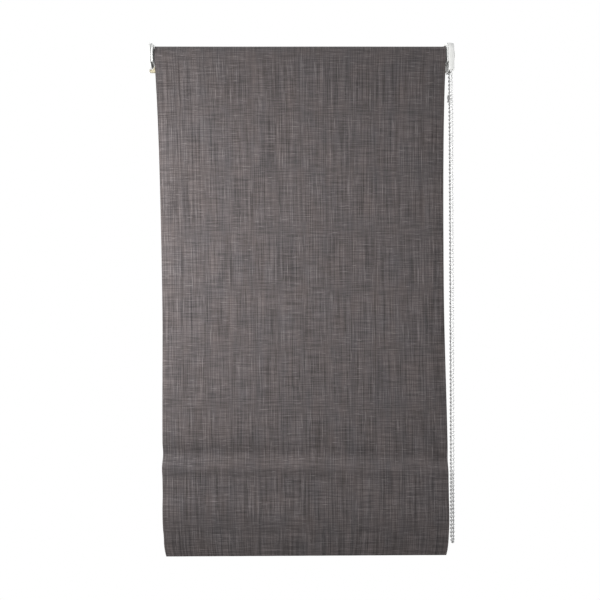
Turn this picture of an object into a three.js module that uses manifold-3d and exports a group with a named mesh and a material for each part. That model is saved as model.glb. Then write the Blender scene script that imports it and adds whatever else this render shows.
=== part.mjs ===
// A chain-operated roller blind for a window 450 mm wide, lowered to its stop.
// Millimetres. +X runs along the roller towards the chain, +Y points into the wall, +Z is up.
// The origin is in the wall plane, midway between the brackets, level with the roller's axis.

import * as THREE from "three";
import { mergeVertices } from "three/addons/utils/BufferGeometryUtils.js";
import Module from "manifold-3d";

const wasm = await Module();
wasm.setup();

// ---- Driving dimensions ----

const GAP = 0.3; // between pieces that touch
const ROUND = 40; // sides of a large round piece
const SMALL_ROUND = 24; // sides of a small one

const AXIS_DEPTH = 38; // from the wall to the roller's axis
const CLOTH_WIDTH = 450;
const CLOTH_THICKNESS = 0.6;
const CLOTH_ROLL_RADIUS = 13.9;
const TUBE_RADIUS = 12.5;
const TUBE_BORE = 11.5;
const TUBE_LENGTH = 451;

const SHEET_TOP = 2;
const SHEET_BOTTOM = -747;
const HEM_SHIFT = 9; // the cloth hangs this much towards the chain at its lower end
const HEM_TILT = 0.0059; // and its lower edge rises this much towards the chain, in radians
const HEM_LEAN = 0.24; // the hem keeps some of the roll's curl, so its foot leans to the wall
const HEM_CENTRE_Z = -762;
const HEM_HEIGHT = 26;
const HEM_DEPTH = 5.6;
const HEM_LENGTH = 438;
const HEM_WALL = 0.6;
const BAR_LENGTH = 422;
const BAR_HEIGHT = 24.2;
const BAR_DEPTH = 3.8;
const BAR_SLOT_HEIGHT = 18;
const BAR_SLOT_DEPTH = 1.4;
const BAR_HEAD_LENGTH = 3;
const BAR_TONGUE_LENGTH = 10;

const PLATE_THICKNESS = 1.5;
const PLATE_INNER_X = 203;
const PLATE_OUTER_X = 241;
const PLATE_HALF_HEIGHT = 16;
const WALL_HOLE_X = 236;
const WALL_HOLE_RADIUS = 2.1;
const SCREW_X = 213;
const SCREW_Z = 7.5;
const SCREW_HOLE_RADIUS = 1.9;
const SCREW_SHANK_RADIUS = 1.5;
const SCREW_HEAD_RADIUS = 3.1;
const SCREW_HEAD_HEIGHT = 1.7;

const FOOT_THICKNESS = 2.3;
const FOOT_HALF_HEIGHT = 13;
const FOOT_INNER_X = 204.5;
const FOOT_BACK_Y = -(PLATE_THICKNESS + GAP);
const FOOT_FRONT_Y = FOOT_BACK_Y - FOOT_THICKNESS;

const LEFT_ARM_INNER_X = -226.8;
const LEFT_ARM_OUTER_X = -229.8;
const LEFT_HEAD_RADIUS = 18.6;
const LEFT_HEAD_FLAT_Z = -11.5; // the head is cut flat here, clear of the plate's lower hole
const CAP_RADIUS = 20;
const CAP_RIM_X = -230.1;
const CAP_EDGE_X = -235.4;
const CAP_DOME_X = -239.2;
const CAP_WALL = 1.2;

const RIGHT_ARM_INNER_X = 237.9;
const RIGHT_ARM_OUTER_X = 239.3;
const RIGHT_HEAD_RADIUS = 10;
const PEG_SIDE = 7.6;
const PEG_HOLE_SIDE = 8.2;

const CHAIN_X = 233.4;
const CHAIN_RADIUS = 2.25;
const CHAIN_SIDES = 8;
const SPROCKET_PITCH_RADIUS = 9.55;
const SPROCKET_RADIUS = 9.2;
const SPROCKET_HALF_WIDTH = 2.9;
const SPROCKET_POCKETS = 10;
const GROOVE_RADIUS = 2.65;
const POCKET_RADIUS = 3.1;

const GUARD_INNER_X = 226.9;
const GUARD_SPLIT_X = 228.3; // the inner cover ends here and the shell begins a gap further out
const GUARD_OUTER_X = 237.6;
const GUARD_WALL = 1.2;
const GUARD_HALF_DEPTH = 14.8;
const GUARD_TOP = 20.5;
const GUARD_BOTTOM = -24.5;
const MOUTH_INNER_X = 229.7;
const MOUTH_TOP = -11.5;
const MOUTH_FLARE = 1.2;

const AXLE_RADIUS = 4.2;
const SLEEVE_OUTER_RADIUS = 8.2;
const SLEEVE_INNER_RADIUS = 6;
const DRUM_BORE = 8.8;
const PLUG_BODY_RADIUS = 10.6;
const PLUG_RIB_RADIUS = 11.15;
const PLUG_COLLAR_RADIUS = 12.4;
const PLUG_RIBS = 6;

// The bead chain's centreline: x, distance in front of the roller's axis, height. It starts on
// top of the sprocket, goes down the front, round the bottom of the loop and up the back.
const CHAIN_ROUTE = [
  [233.4, 0.6, 9.53],
  [233.4, 4.78, 8.27],
  [233.4, 8.27, 4.78],
  [233.4, 9.55, 0],
  [233.5, 9.6, -9],
  [233.9, 9.7, -22],
  [234.4, 9.7, -42],
  [234.9, 9.7, -85],
  [235.5, 9.6, -200],
  [236.1, 9.5, -340],
  [236.6, 9.4, -480],
  [237.0, 9.3, -620],
  [237.2, 9.2, -700],
  [237.3, 9.2, -735],
  [237.3, 9.2, -747.2],
  [237.3, 8.5, -750.7],
  [237.3, 6.5, -753.7],
  [237.3, 3.5, -755.7],
  [237.3, 0, -756.4],
  [237.3, -3.5, -755.7],
  [237.3, -6.5, -753.7],
  [237.3, -8.5, -750.7],
  [237.3, -9.2, -747.2],
  [237.3, -9.2, -735],
  [237.2, -9.2, -700],
  [237.0, -9.3, -620],
  [236.6, -9.4, -480],
  [236.1, -9.5, -340],
  [235.5, -9.6, -200],
  [234.9, -9.7, -85],
  [234.4, -9.7, -42],
  [233.9, -9.7, -22],
  [233.5, -9.6, -9],
  [233.4, -9.55, 0],
  [233.4, -8.27, 4.78],
  [233.4, -4.78, 8.27],
  [233.4, -0.6, 9.53],
];
const STEPS_PER_SPAN = 2;
const CONNECTOR_PLACE = [234.65, 9.7, -64]; // on the strand behind the roller

// ---- Materials ----

const finish = (color, roughness, metalness) =>
  new THREE.MeshStandardMaterial({ color, roughness, metalness });

const cloth = finish(0x6a6363, 0.95, 0);
const whitePlastic = finish(0xf1f1ef, 0.35, 0);
const greyPlastic = finish(0xb9bab8, 0.5, 0);
const darkPlastic = finish(0x3a3b3d, 0.55, 0);
const chainPlastic = finish(0xf4f4f2, 0.3, 0);
const aluminium = finish(0xc3c5c7, 0.4, 1);
const platedSteel = finish(0xb09a6c, 0.45, 1);
const springSteel = finish(0x8d8f92, 0.35, 1);
const tape = finish(0xe7e4d8, 0.8, 0);

// ---- Shape helpers ----

// A closed geometry as a solid with its faces turned out.
function solidOf(geometry) {
  const bare = geometry.clone();
  bare.deleteAttribute("normal");
  bare.deleteAttribute("uv");
  const merged = mergeVertices(bare, 1e-4);
  const corners = merged.index.array;
  const triangles = [];
  for (let i = 0; i < corners.length; i += 3) {
    const [a, b, c] = corners.slice(i, i + 3);
    if (a !== b && b !== c && c !== a) triangles.push(a, b, c);
  }
  const make = () =>
    new wasm.Manifold(
      new wasm.Mesh({
        numProp: 3,
        vertProperties: merged.attributes.position.array,
        triVerts: new Uint32Array(triangles),
      }),
    );
  const solid = make();
  if (solid.volume() > 0) return solid;
  triangles.reverse();
  return make();
}

function geometryOf(solid) {
  const { vertProperties, triVerts } = solid.getMesh();
  const geometry = new THREE.BufferGeometry();
  geometry.setAttribute("position", new THREE.BufferAttribute(vertProperties, 3));
  geometry.setIndex(new THREE.BufferAttribute(triVerts, 1));
  geometry.computeVertexNormals();
  return geometry;
}

function addPiece(parent, name, material, solid) {
  const piece = new THREE.Mesh(geometryOf(solid), material);
  piece.name = name;
  parent.add(piece);
  return piece;
}

// A box between two corners, given as low and high along each axis.
function block([x0, x1], [y0, y1], [z0, z1]) {
  const geometry = new THREE.BoxGeometry(x1 - x0, y1 - y0, z1 - z0);
  geometry.translate((x0 + x1) / 2, (y0 + y1) / 2, (z0 + z1) / 2);
  return solidOf(geometry);
}

// A profile of [x, radius] corners turned about the X axis. It starts and ends on the axis.
function turned(corners, sides = ROUND) {
  const profile = corners.map(([x, radius]) => new THREE.Vector2(radius, x));
  const geometry = new THREE.LatheGeometry(profile, sides);
  geometry.rotateZ(-Math.PI / 2);
  return solidOf(geometry);
}

function rod(x0, x1, radius, sides = ROUND) {
  return turned([[x0, 0], [x0, radius], [x1, radius], [x1, 0]], sides);
}

function ring(x0, x1, bore, radius, sides = ROUND) {
  return turned([[x0, bore], [x0, radius], [x1, radius], [x1, bore], [x0, bore]], sides);
}

// An outline drawn in the YZ plane, carried along X from x0 to x1.
function acrossX(outline, x0, x1, curveSegments = 10) {
  const settings = { depth: x1 - x0, bevelEnabled: false, curveSegments };
  const geometry = new THREE.ExtrudeGeometry(outline, settings);
  const turn = new THREE.Matrix4().makeBasis(
    new THREE.Vector3(0, 1, 0),
    new THREE.Vector3(0, 0, 1),
    new THREE.Vector3(1, 0, 0),
  );
  geometry.applyMatrix4(turn);
  geometry.translate(x0, 0, 0);
  return solidOf(geometry);
}

// An outline drawn in the XZ plane, carried along Y from the front face to the back face.
function acrossY(outline, front, back, curveSegments = 10) {
  const settings = { depth: back - front, bevelEnabled: false, curveSegments };
  const geometry = new THREE.ExtrudeGeometry(outline, settings);
  geometry.rotateX(Math.PI / 2);
  geometry.translate(0, back, 0);
  return solidOf(geometry);
}

function rectangle(x0, x1, y0, y1, corner = 0) {
  const shape = new THREE.Shape();
  if (corner === 0) {
    shape.moveTo(x0, y0).lineTo(x1, y0).lineTo(x1, y1).lineTo(x0, y1);
    return shape;
  }
  shape.absarc(x1 - corner, y0 + corner, corner, -Math.PI / 2, 0);
  shape.absarc(x1 - corner, y1 - corner, corner, 0, Math.PI / 2);
  shape.absarc(x0 + corner, y1 - corner, corner, Math.PI / 2, Math.PI);
  shape.absarc(x0 + corner, y0 + corner, corner, Math.PI, 1.5 * Math.PI);
  return shape;
}

// A flat bar's section with round edges, its long side along Z.
function flatSection(depth, height) {
  return rectangle(-depth / 2, depth / 2, -height / 2, height / 2, depth / 2 - 0.01);
}

// Splines on a plug that grips the inside of the tube.
function plugRibs(x0, x1) {
  const width = 1.6;
  const rib = block([x0, x1], [-width / 2, width / 2], [PLUG_BODY_RADIUS - 1, PLUG_RIB_RADIUS]);
  const ribs = [];
  for (let i = 0; i < PLUG_RIBS; i++) ribs.push(rib.rotate([(i * 360) / PLUG_RIBS, 0, 0]));
  return ribs;
}

// A round wire of the given radius along a curve.
function wire(curve, radius, steps, sides = 6) {
  const section = new THREE.Shape();
  for (let i = 0; i < sides; i++) {
    const angle = (i * 2 * Math.PI) / sides;
    const method = i === 0 ? "moveTo" : "lineTo";
    section[method](radius * Math.cos(angle), radius * Math.sin(angle));
  }
  const settings = { steps, bevelEnabled: false, extrudePath: curve };
  return solidOf(new THREE.ExtrudeGeometry(section, settings));
}

// A helix about the X axis whose last part of a turn at each end may widen to form a tang.
class Coil extends THREE.Curve {
  constructor({ x0, x1, radius, startAngle, turns, tangRadius = radius, tangAngle = 0.9 }) {
    super();
    Object.assign(this, { x0, x1, radius, startAngle, turns, tangRadius, tangAngle });
  }
  getPoint(t, target = new THREE.Vector3()) {
    const sweep = this.turns * 2 * Math.PI;
    const turn = sweep * t;
    const fromEnd = Math.min(turn, sweep - turn);
    const ease = Math.max(0, 1 - fromEnd / this.tangAngle);
    const radius = this.radius + (this.tangRadius - this.radius) * ease * ease;
    const angle = this.startAngle + turn;
    const x = this.x0 + (this.x1 - this.x0) * t;
    return target.set(x, radius * Math.cos(angle), radius * Math.sin(angle));
  }
}

// A smooth path whose steps are shared out evenly between its points, so that close points in a
// bend get short steps and far ones on a straight run get long steps.
class StepwisePath extends THREE.CatmullRomCurve3 {
  getPointAt(u, target) {
    return this.getPoint(u, target);
  }
  getTangentAt(u, target) {
    return this.getTangent(u, target);
  }
}

// ---- The blind ----

const blind = new THREE.Group();
const spindle = new THREE.Group(); // everything about the roller's axis
spindle.position.set(0, -AXIS_DEPTH, 0);
blind.add(spindle);

addWallPlates();
addScrews();
addLeftBracket();
addRightBracket();
addRoller();
addIdleEnd();
addDriveUnit();
addChainGuard();
addChain();
addCloth();
addBottomBar();

// Plated steel plates on the wall. Each has two holes near its outer edge for wall screws.
function addWallPlates() {
  for (const [name, side] of [["left", -1], ["right", 1]]) {
    const low = Math.min(side * PLATE_INNER_X, side * PLATE_OUTER_X);
    const high = Math.max(side * PLATE_INNER_X, side * PLATE_OUTER_X);
    const outline = rectangle(low, high, -PLATE_HALF_HEIGHT, PLATE_HALF_HEIGHT, 2.5);
    for (const z of [-SCREW_Z, SCREW_Z]) {
      for (const [x, radius] of [[WALL_HOLE_X, WALL_HOLE_RADIUS], [SCREW_X, SCREW_HOLE_RADIUS]]) {
        const hole = new THREE.Path();
        hole.absarc(side * x, z, radius, 0, 2 * Math.PI);
        outline.holes.push(hole);
      }
    }
    const plate = acrossY(outline, -PLATE_THICKNESS, 0, 6);
    addPiece(blind, `mounting_plate_${name}`, platedSteel, plate);
  }
}

// Short cross-headed screws that hold each bracket's foot to its plate.
function addScrews() {
  const seat = FOOT_FRONT_Y - GAP;
  const crown = seat - SCREW_HEAD_HEIGHT;
  const profile = [
    [crown, 0],
    [crown, SCREW_HEAD_RADIUS * 0.7],
    [crown + SCREW_HEAD_HEIGHT * 0.5, SCREW_HEAD_RADIUS],
    [seat, SCREW_HEAD_RADIUS],
    [seat, SCREW_SHANK_RADIUS],
    [-GAP, SCREW_SHANK_RADIUS],
    [-GAP, 0],
  ];
  const arm = 1.7;
  const slot = 0.35;
  const depth = 1;
  const across = block([crown - 1, crown + depth], [-arm, arm], [-slot, slot]);
  const upright = block([crown - 1, crown + depth], [-slot, slot], [-arm, arm]);
  const screw = turned(profile, 16).subtract(across).subtract(upright).rotate([0, 0, 90]);
  for (const [name, side] of [["left", -1], ["right", 1]]) {
    for (const [level, z] of [["lower", -SCREW_Z], ["upper", SCREW_Z]]) {
      const placed = screw.translate([side * SCREW_X, 0, z]);
      addPiece(blind, `screw_${name}_${level}`, springSteel, placed);
    }
  }
}

// A foot against the plate, from the arm inwards, with two screw holes.
function bracketFoot(side, armX) {
  const low = Math.min(side * FOOT_INNER_X, armX);
  const high = Math.max(side * FOOT_INNER_X, armX);
  const outline = rectangle(low, high, -FOOT_HALF_HEIGHT, FOOT_HALF_HEIGHT, 1.5);
  for (const z of [-SCREW_Z, SCREW_Z]) {
    const hole = new THREE.Path();
    hole.absarc(side * SCREW_X, z, SCREW_HOLE_RADIUS, 0, 2 * Math.PI);
    outline.holes.push(hole);
  }
  return acrossY(outline, FOOT_FRONT_Y, FOOT_BACK_Y, 6);
}

// An arm that stands out from the foot to a round head on the roller's axis.
function bracketArm(headRadius, x0, x1) {
  const halfHeight = Math.min(FOOT_HALF_HEIGHT, headRadius);
  const meeting = Math.asin(halfHeight / headRadius);
  const shape = new THREE.Shape();
  shape.moveTo(FOOT_BACK_Y, -FOOT_HALF_HEIGHT);
  shape.lineTo(FOOT_BACK_Y, FOOT_HALF_HEIGHT);
  shape.lineTo(FOOT_FRONT_Y, FOOT_HALF_HEIGHT);
  shape.absarc(-AXIS_DEPTH, 0, headRadius, meeting, 2 * Math.PI - meeting);
  shape.lineTo(FOOT_FRONT_Y, -FOOT_HALF_HEIGHT);
  return acrossX(shape, x0, x1, 16);
}

// A web between arm and foot, level with the axis.
function bracketWeb(side, armX) {
  const halfThickness = 1.1;
  const along = 13;
  const out = 14;
  const shape = new THREE.Shape();
  shape.moveTo(armX + side * 0.5, FOOT_BACK_Y - 0.5);
  shape.lineTo(armX - side * along, FOOT_BACK_Y - 0.5);
  shape.lineTo(armX + side * 0.5, FOOT_FRONT_Y - out);
  const settings = { depth: 2 * halfThickness, bevelEnabled: false };
  const geometry = new THREE.ExtrudeGeometry(shape, settings);
  geometry.translate(0, 0, -halfThickness);
  return solidOf(geometry);
}

// The idle end's bracket, its bearing bush and its domed cap.
function addLeftBracket() {
  const bushHole = 6.3;
  const hole = rod(LEFT_ARM_OUTER_X - 1, LEFT_ARM_INNER_X + 1, bushHole, SMALL_ROUND);
  const below = block(
    [LEFT_ARM_OUTER_X - 1, LEFT_ARM_INNER_X + 1],
    [-AXIS_DEPTH - 2 * LEFT_HEAD_RADIUS, FOOT_FRONT_Y - GAP],
    [-2 * LEFT_HEAD_RADIUS, LEFT_HEAD_FLAT_Z],
  );
  const bracket = bracketArm(LEFT_HEAD_RADIUS, LEFT_ARM_OUTER_X, LEFT_ARM_INNER_X)
    .subtract(below)
    .add(bracketFoot(-1, LEFT_ARM_OUTER_X))
    .add(bracketWeb(-1, LEFT_ARM_INNER_X))
    .subtract(hole.translate([0, -AXIS_DEPTH, 0]));
  addPiece(blind, "bracket_left", whitePlastic, bracket);

  const bush = turned(
    [
      [-231.6, 3.3],
      [-231.6, 8],
      [LEFT_ARM_OUTER_X - GAP, 8],
      [LEFT_ARM_OUTER_X - GAP, bushHole - GAP],
      [LEFT_ARM_INNER_X, bushHole - GAP],
      [LEFT_ARM_INNER_X, 3.3],
      [-231.6, 3.3],
    ],
    SMALL_ROUND,
  );
  addPiece(spindle, "bearing_bush", greyPlastic, bush);

  const outer = [];
  const inner = [];
  const rings = 5;
  for (let i = 0; i <= rings; i++) {
    const angle = ((Math.PI / 2) * i) / rings;
    const rise = Math.sin(angle);
    const reach = Math.cos(angle);
    outer.push([CAP_EDGE_X + (CAP_DOME_X - CAP_EDGE_X) * rise, CAP_RADIUS * reach]);
    const innerRise = (CAP_DOME_X + CAP_WALL - CAP_EDGE_X) * rise;
    inner.push([CAP_EDGE_X + innerRise, (CAP_RADIUS - CAP_WALL) * reach]);
  }
  outer[rings][1] = 0;
  inner[rings][1] = 0;
  const profile = [...inner.reverse(), [CAP_RIM_X, CAP_RADIUS - CAP_WALL], [CAP_RIM_X, CAP_RADIUS]];
  const cap = turned([...profile, ...outer]);
  addPiece(spindle, "bracket_cap", whitePlastic, cap);
}

// The chain end's bracket. A square hole in its head carries the clutch axle's peg.
function addRightBracket() {
  const half = PEG_HOLE_SIDE / 2;
  const hole = block(
    [RIGHT_ARM_INNER_X - 1, RIGHT_ARM_OUTER_X + 1],
    [-AXIS_DEPTH - half, -AXIS_DEPTH + half],
    [-half, half],
  );
  const bracket = bracketArm(RIGHT_HEAD_RADIUS, RIGHT_ARM_INNER_X, RIGHT_ARM_OUTER_X)
    .add(bracketFoot(1, RIGHT_ARM_OUTER_X))
    .subtract(hole);
  addPiece(blind, "bracket_right", whitePlastic, bracket);
}

// The tube, the tape that holds the cloth to it, and the turns of cloth that stay on it.
function addRoller() {
  const half = TUBE_LENGTH / 2;
  addPiece(spindle, "roller_tube", aluminium, ring(-half, half, TUBE_BORE, TUBE_RADIUS));

  const tapeBottom = TUBE_RADIUS + GAP;
  const tapeTop = tapeBottom + 0.25;
  const tapeHalfAngle = 0.4;
  const strip = new THREE.Shape();
  strip.absarc(0, 0, tapeTop, -tapeHalfAngle, tapeHalfAngle);
  strip.absarc(0, 0, tapeBottom, tapeHalfAngle, -tapeHalfAngle, true);
  addPiece(spindle, "adhesive_strip", tape, acrossX(strip, -220, 220, 6));

  const halfCloth = CLOTH_WIDTH / 2;
  const turns = ring(-halfCloth, halfCloth, tapeTop + GAP, CLOTH_ROLL_RADIUS);
  addPiece(spindle, "cloth_roll", cloth, turns);
}

// The idle end: a ribbed plug in the tube, with a pin on a spring that enters the bush.
function addIdleEnd() {
  const mouth = -TUBE_LENGTH / 2 - GAP;
  const face = LEFT_ARM_INNER_X + GAP;
  const chamber = 6.5;
  const chamberStart = -222.5;
  const plugEnd = -203.5;
  const body = turned([
    [face, 3.4],
    [face, PLUG_COLLAR_RADIUS],
    [mouth, PLUG_COLLAR_RADIUS],
    [mouth, PLUG_BODY_RADIUS],
    [plugEnd, PLUG_BODY_RADIUS],
    [plugEnd, chamber],
    [chamberStart, chamber],
    [chamberStart, 3.4],
    [face, 3.4],
  ]);
  let plug = body;
  for (const rib of plugRibs(mouth - 0.1, plugEnd - 1)) plug = plug.add(rib);
  addPiece(spindle, "idle_plug", greyPlastic, plug);

  const pin = turned(
    [
      [-231, 0],
      [-231, 2.2],
      [-230.2, 3],
      [chamberStart + GAP, 3],
      [chamberStart + GAP, 6.1],
      [chamberStart + 2.3, 6.1],
      [chamberStart + 2.3, 2.6],
      [-198, 2.6],
      [-198, 0],
    ],
    SMALL_ROUND,
  );
  addPiece(spindle, "idle_pin", springSteel, pin);

  const capStart = plugEnd + GAP;
  const cap = ring(capStart, capStart + 2, 3, PLUG_BODY_RADIUS, SMALL_ROUND);
  addPiece(spindle, "plug_cap", greyPlastic, cap);

  const wireRadius = 0.45;
  const clearance = GAP + wireRadius;
  const coil = new Coil({
    x0: chamberStart + 2.3 + clearance,
    x1: capStart - clearance,
    radius: 4.6,
    startAngle: 0,
    turns: 7,
  });
  addPiece(spindle, "pin_spring", springSteel, wire(coil, wireRadius, 84));
}

// The chain end: a fixed axle, the sprocket with its sleeve, the wrap spring that brakes it, the
// drum that grips the tube, and the clip that keeps them together.
function addDriveUnit() {
  const axleEnd = 182;
  const pegStart = GUARD_OUTER_X - 1;
  const neck = PEG_SIDE / 2 - 0.1;
  const half = PEG_SIDE / 2;
  const axle = turned(
    [
      [axleEnd, 0],
      [axleEnd, AXLE_RADIUS - 0.6],
      [axleEnd + 0.8, AXLE_RADIUS],
      [184.2, AXLE_RADIUS],
      [184.2, 3.4],
      [185.8, 3.4],
      [185.8, AXLE_RADIUS],
      [pegStart - GAP, AXLE_RADIUS],
      [pegStart - GAP, neck],
      [pegStart + 1, neck],
      [pegStart + 1, 0],
    ],
    SMALL_ROUND,
  ).add(block([pegStart, RIGHT_ARM_OUTER_X], [-half, half], [-half, half]));
  addPiece(spindle, "clutch_axle", whitePlastic, axle);

  const clip = ring(184.5, 185.5, 3.7, 7, SMALL_ROUND).subtract(
    block([184, 186], [-2.6, 2.6], [-8, 0]),
  );
  addPiece(spindle, "retaining_clip", springSteel, clip);

  addPiece(spindle, "drive_sprocket", whitePlastic, sprocketSolid());
  addPiece(spindle, "drive_drum", greyPlastic, drumSolid());

  const coil = new Coil({
    x0: 210,
    x1: 222,
    radius: 5,
    startAngle: (200 * Math.PI) / 180,
    turns: 7 + 80 / 360,
    tangRadius: 7.2,
  });
  addPiece(spindle, "wrap_spring", springSteel, wire(coil, 0.45, 92));
}

function sprocketSolid() {
  const wheelStart = CHAIN_X - SPROCKET_HALF_WIDTH;
  const wheelEnd = CHAIN_X + SPROCKET_HALF_WIDTH;
  const bore = AXLE_RADIUS + 0.3;
  const sleeveStart = 205;
  const groove = [];
  const grooveSides = 12;
  for (let i = 0; i <= grooveSides; i++) {
    const angle = (i * 2 * Math.PI) / grooveSides;
    const radius = SPROCKET_PITCH_RADIUS + GROOVE_RADIUS * Math.sin(angle);
    groove.push([CHAIN_X + GROOVE_RADIUS * Math.cos(angle), radius]);
  }
  let wheel = ring(wheelStart, wheelEnd, bore, SPROCKET_RADIUS).subtract(turned(groove, 30));
  for (let i = 0; i < SPROCKET_POCKETS; i++) {
    const angle = (i * 2 * Math.PI) / SPROCKET_POCKETS;
    const pocket = new THREE.SphereGeometry(POCKET_RADIUS, 8, 6);
    const y = SPROCKET_PITCH_RADIUS * Math.cos(angle);
    const z = SPROCKET_PITCH_RADIUS * Math.sin(angle);
    pocket.translate(CHAIN_X, y, z);
    wheel = wheel.subtract(solidOf(pocket));
  }
  const sleeve = ring(sleeveStart, wheelStart + 0.5, SLEEVE_INNER_RADIUS, SLEEVE_OUTER_RADIUS, 32);
  // The sleeve is cut away over a third of its turn, where the drum's dog and the tangs lie.
  const window = new THREE.Shape();
  window.moveTo(0, 0);
  window.lineTo(-12, 0);
  window.absarc(0, 0, 12, Math.PI, Math.PI + 2.1);
  const opening = acrossX(window, sleeveStart - 1, 224, 8);
  return wheel.add(sleeve.subtract(opening));
}

function drumSolid() {
  const face = GUARD_INNER_X - GAP;
  const mouth = TUBE_LENGTH / 2 + GAP;
  const drumEnd = 186.3;
  const endWall = 190;
  let drum = turned([
    [drumEnd, AXLE_RADIUS + 0.3],
    [drumEnd, PLUG_BODY_RADIUS],
    [mouth, PLUG_BODY_RADIUS],
    [mouth, PLUG_COLLAR_RADIUS],
    [face, PLUG_COLLAR_RADIUS],
    [face, DRUM_BORE],
    [endWall, DRUM_BORE],
    [endWall, AXLE_RADIUS + 0.3],
    [drumEnd, AXLE_RADIUS + 0.3],
  ]);
  for (const rib of plugRibs(drumEnd + 1, mouth + 0.1)) drum = drum.add(rib);
  const dog = new THREE.Shape();
  dog.absarc(0, 0, DRUM_BORE + 0.4, Math.PI + 0.75, Math.PI + 1.25);
  dog.absarc(0, 0, SLEEVE_INNER_RADIUS + 0.4, Math.PI + 1.25, Math.PI + 0.75, true);
  return drum.add(acrossX(dog, endWall - 1, 223, 5));
}

// The guard's outline: a tall oval about the axis whose foot flares out round the chain.
function guardOutline(inset, bottom) {
  const half = GUARD_HALF_DEPTH - inset;
  const shoulder = GUARD_TOP - GUARD_HALF_DEPTH;
  const foot = half + MOUTH_FLARE;
  const shape = new THREE.Shape();
  shape.moveTo(-foot, bottom);
  shape.lineTo(foot, bottom);
  shape.bezierCurveTo(foot, bottom + 5, half, bottom + 9, half, MOUTH_TOP + 3);
  shape.lineTo(half, shoulder);
  shape.absarc(0, shoulder, half, 0, Math.PI);
  shape.lineTo(-half, MOUTH_TOP + 3);
  shape.bezierCurveTo(-half, bottom + 9, -foot, bottom + 5, -foot, bottom);
  return shape;
}

// The shell round the sprocket and the cover that closes its inner side.
function addChainGuard() {
  const shellStart = GUARD_SPLIT_X + GAP;
  const wallStart = GUARD_OUTER_X - 1;
  const far = 40;
  const peg = PEG_HOLE_SIDE / 2;
  const mouthWall = acrossX(guardOutline(0.2, GUARD_BOTTOM), MOUTH_INNER_X, MOUTH_INNER_X + 1);
  const shell = acrossX(guardOutline(0, GUARD_BOTTOM), shellStart, GUARD_OUTER_X)
    .subtract(acrossX(guardOutline(GUARD_WALL, GUARD_BOTTOM), shellStart - 1, wallStart))
    .subtract(block([shellStart - 1, MOUTH_INNER_X], [-far, far], [-far, MOUTH_TOP]))
    .add(mouthWall.subtract(block([0, 2 * GUARD_OUTER_X], [-far, far], [MOUTH_TOP, far])))
    .subtract(block([wallStart - 1, GUARD_OUTER_X + 1], [-peg, peg], [-peg, peg]));
  addPiece(spindle, "chain_guard", whitePlastic, shell);

  const lip = block([223.8, GUARD_INNER_X + 0.5], [-5.5, 5.5], [15.2, 17.4]);
  const cover = acrossX(guardOutline(0, GUARD_BOTTOM), GUARD_INNER_X, GUARD_SPLIT_X)
    .subtract(block([GUARD_INNER_X - 1, shellStart], [-far, far], [-far, MOUTH_TOP]))
    .add(lip)
    .subtract(rod(GUARD_INNER_X - 1, GUARD_SPLIT_X + 1, SLEEVE_OUTER_RADIUS + 0.6, 32));
  addPiece(spindle, "guard_cover", whitePlastic, cover);
}

// The endless bead chain as a plain tube of its outer diameter, and the clip that joins its ends.
function addChain() {
  const points = CHAIN_ROUTE.map(([x, front, z]) => new THREE.Vector3(x, -front, z));
  const path = new StepwisePath(points);
  const steps = (points.length - 1) * STEPS_PER_SPAN;
  addPiece(spindle, "bead_chain", chainPlastic, wire(path, CHAIN_RADIUS, steps, CHAIN_SIDES));

  const profile = [
    [-6, 2.75],
    [-6, 3.3],
    [-4.6, 3.8],
    [4.6, 3.8],
    [6, 3.3],
    [6, 2.75],
    [-6, 2.75],
  ];
  const slit = block([-7, 7], [0, 5], [-0.5, 0.5]);
  const clip = turned(profile, 16).subtract(slit).rotate([0, 90, 0]);
  addPiece(spindle, "chain_connector", chainPlastic, clip.translate(CONNECTOR_PLACE));
}

// The hanging part of the cloth: a thin sheet that leaves the front of the roll.
function addCloth() {
  const half = CLOTH_WIDTH / 2;
  const back = -AXIS_DEPTH - CLOTH_ROLL_RADIUS - GAP;
  const shape = new THREE.Shape();
  shape.moveTo(-half, SHEET_TOP);
  shape.lineTo(-half + HEM_SHIFT, SHEET_BOTTOM);
  shape.lineTo(half + HEM_SHIFT, SHEET_BOTTOM);
  shape.lineTo(half, SHEET_TOP);
  const sheet = acrossY(shape, back - CLOTH_THICKNESS, back);
  addPiece(blind, "cloth_sheet", cloth, sheet);
}

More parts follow.
